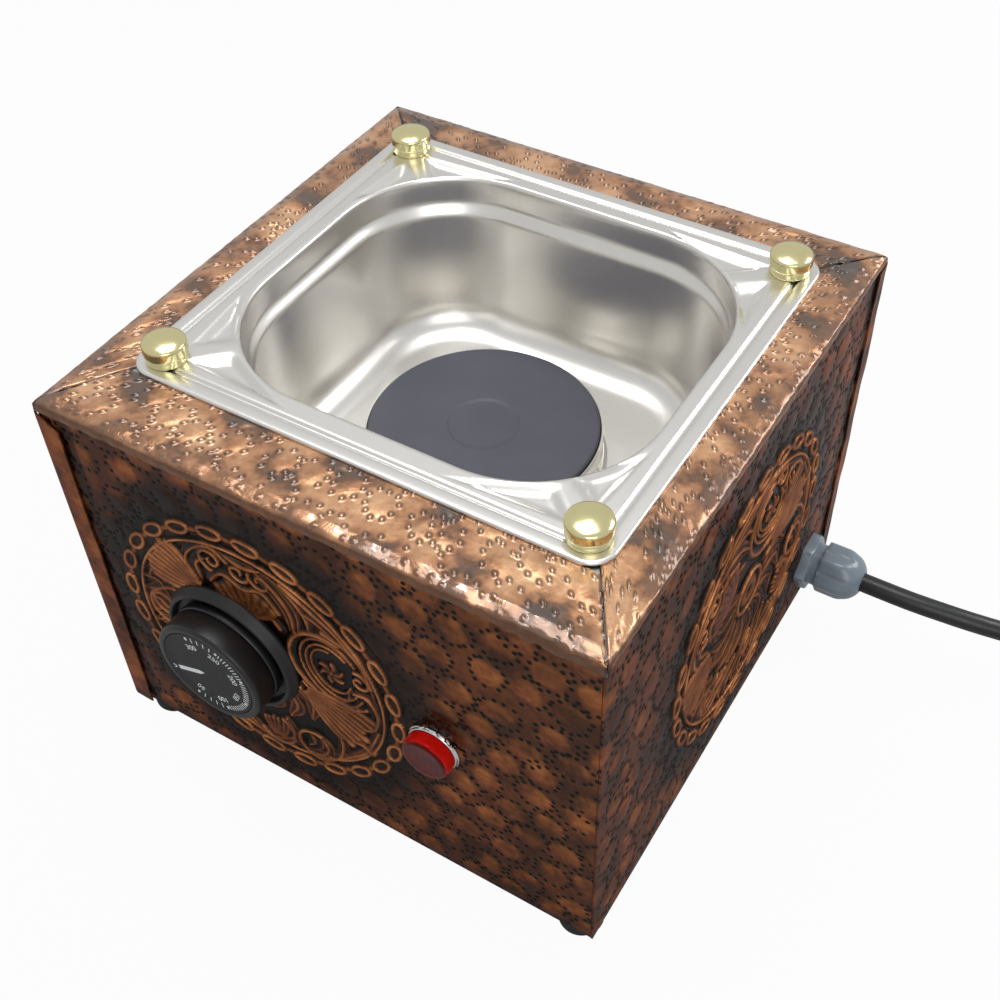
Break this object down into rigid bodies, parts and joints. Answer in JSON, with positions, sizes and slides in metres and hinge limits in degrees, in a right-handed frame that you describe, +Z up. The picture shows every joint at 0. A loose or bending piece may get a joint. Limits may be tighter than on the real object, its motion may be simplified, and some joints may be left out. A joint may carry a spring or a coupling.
{
  "type": "table-top warmer with hot plate and pan",
  "caption": "Square copper-clad table-top warmer: a hot plate in a steel pan, with a thermostat knob, pilot lamp and power cord.",
  "frame": {"origin": "on the table, in the plane of the four feet's undersides, below the middle of the copper-clad case", "axes": "+Z up, the front with knob and lamp faces -Y, +X towards the side with the cable gland"},
  "size_m": [0.4339, 0.2346, 0.1745],
  "materials": {
    "side_copper": "embossed copper sheet, dark patina rubbed off the high spots, lacquered",
    "top_copper": "embossed copper sheet, light patina, lacquered",
    "case_steel": "galvanised sheet",
    "foot_rubber": "moulded",
    "zinc_steel": "zinc plated",
    "pan_steel": "satin polished stainless",
    "washer_rubber": "fibre-filled",
    "cap_brass": "polished",
    "plate_iron": "matt heat-resistant coating",
    "skirt_steel": "bright stainless",
    "heating_alloy": "oxidised",
    "terminal_ceramic": "unglazed steatite",
    "blade_metal": "tinned",
    "knob_plastic": "moulded phenolic, matt",
    "dial_print": "matt with white scale print",
    "bush_brass": "turned",
    "capillary_copper": "drawn copper tube",
    "lamp_chrome": "polished",
    "lens_red": "clear red, glossy",
    "lamp_white": "moulded",
    "neon_glass": "clear",
    "gland_plastic": "moulded polyamide, satin",
    "seal_rubber": "moulded",
    "cord_rubber": "extruded, satin",
    "plug_rubber": "moulded, matt",
    "pin_nickel": "nickel plated",
    "supply_insulation": "extruded",
    "harness_insulation": "braided glass sleeve"
  },
  "bodies": {
    "root": {"copper_front": "side_copper", "copper_right": "side_copper", "copper_back": "side_copper", "copper_left": "side_copper", "top_strip_front": "top_copper", "top_strip_right": "top_copper", "top_strip_back": "top_copper", "top_strip_left": "top_copper", "inner_case": "case_steel", "case_top": "case_steel", "base_plate": "case_steel", "feet": "foot_rubber", "foot_screws": "zinc_steel", "foot_nuts": "zinc_steel", "gn_pan": "pan_steel", "rim_washers": "washer_rubber", "pan_studs": "zinc_steel", "cap_nuts": "cap_brass", "pan_nuts": "zinc_steel", "hot_plate": "plate_iron", "plate_skirt": "skirt_steel", "heating_rings": "heating_alloy", "heater_cover": "skirt_steel", "clamp_stud": "zinc_steel", "clamp_bridge": "skirt_steel", "clamp_washer": "zinc_steel", "clamp_nut": "zinc_steel", "heater_terminal": "terminal_ceramic", "heater_blades": "blade_metal", "knob_bezel": "knob_plastic", "thermostat_screws": "zinc_steel", "thermostat_body": "terminal_ceramic", "thermostat_blades": "blade_metal", "capillary_tube": "capillary_copper", "sensor_bulb": "capillary_copper", "bulb_clip": "skirt_steel", "lamp_ring": "lamp_chrome", "lamp_lens": "lens_red", "lamp_body": "lamp_white", "lamp_nut": "zinc_steel", "neon_bulb": "neon_glass", "lamp_blades": "blade_metal", "gland_body": "gland_plastic", "gland_seal": "seal_rubber", "gland_dome_nut": "gland_plastic", "gland_locknut": "gland_plastic", "cord_tail": "cord_rubber", "terminal_block": "terminal_ceramic", "terminal_screws": "bush_brass", "supply_wires": "supply_insulation", "harness_wires": "harness_insulation", "power_cord": "cord_rubber", "cord_coil": "cord_rubber", "plug_relief": "plug_rubber", "plug_body": "plug_rubber", "plug_pins": "pin_nickel"},
    "thermostat_control": {"knob": "knob_plastic", "dial": "dial_print", "shaft_bush": "bush_brass", "thermostat_shaft": "blade_metal"}
  },
  "joints": [
    {"name": "thermostat_turn", "type": "hinge", "parent": "root", "child": "thermostat_control", "pos_m": [-0.0378, -0.10225, 0.0816], "axis": [0, 1, 0], "range_deg": [0, 275]}
  ]
}
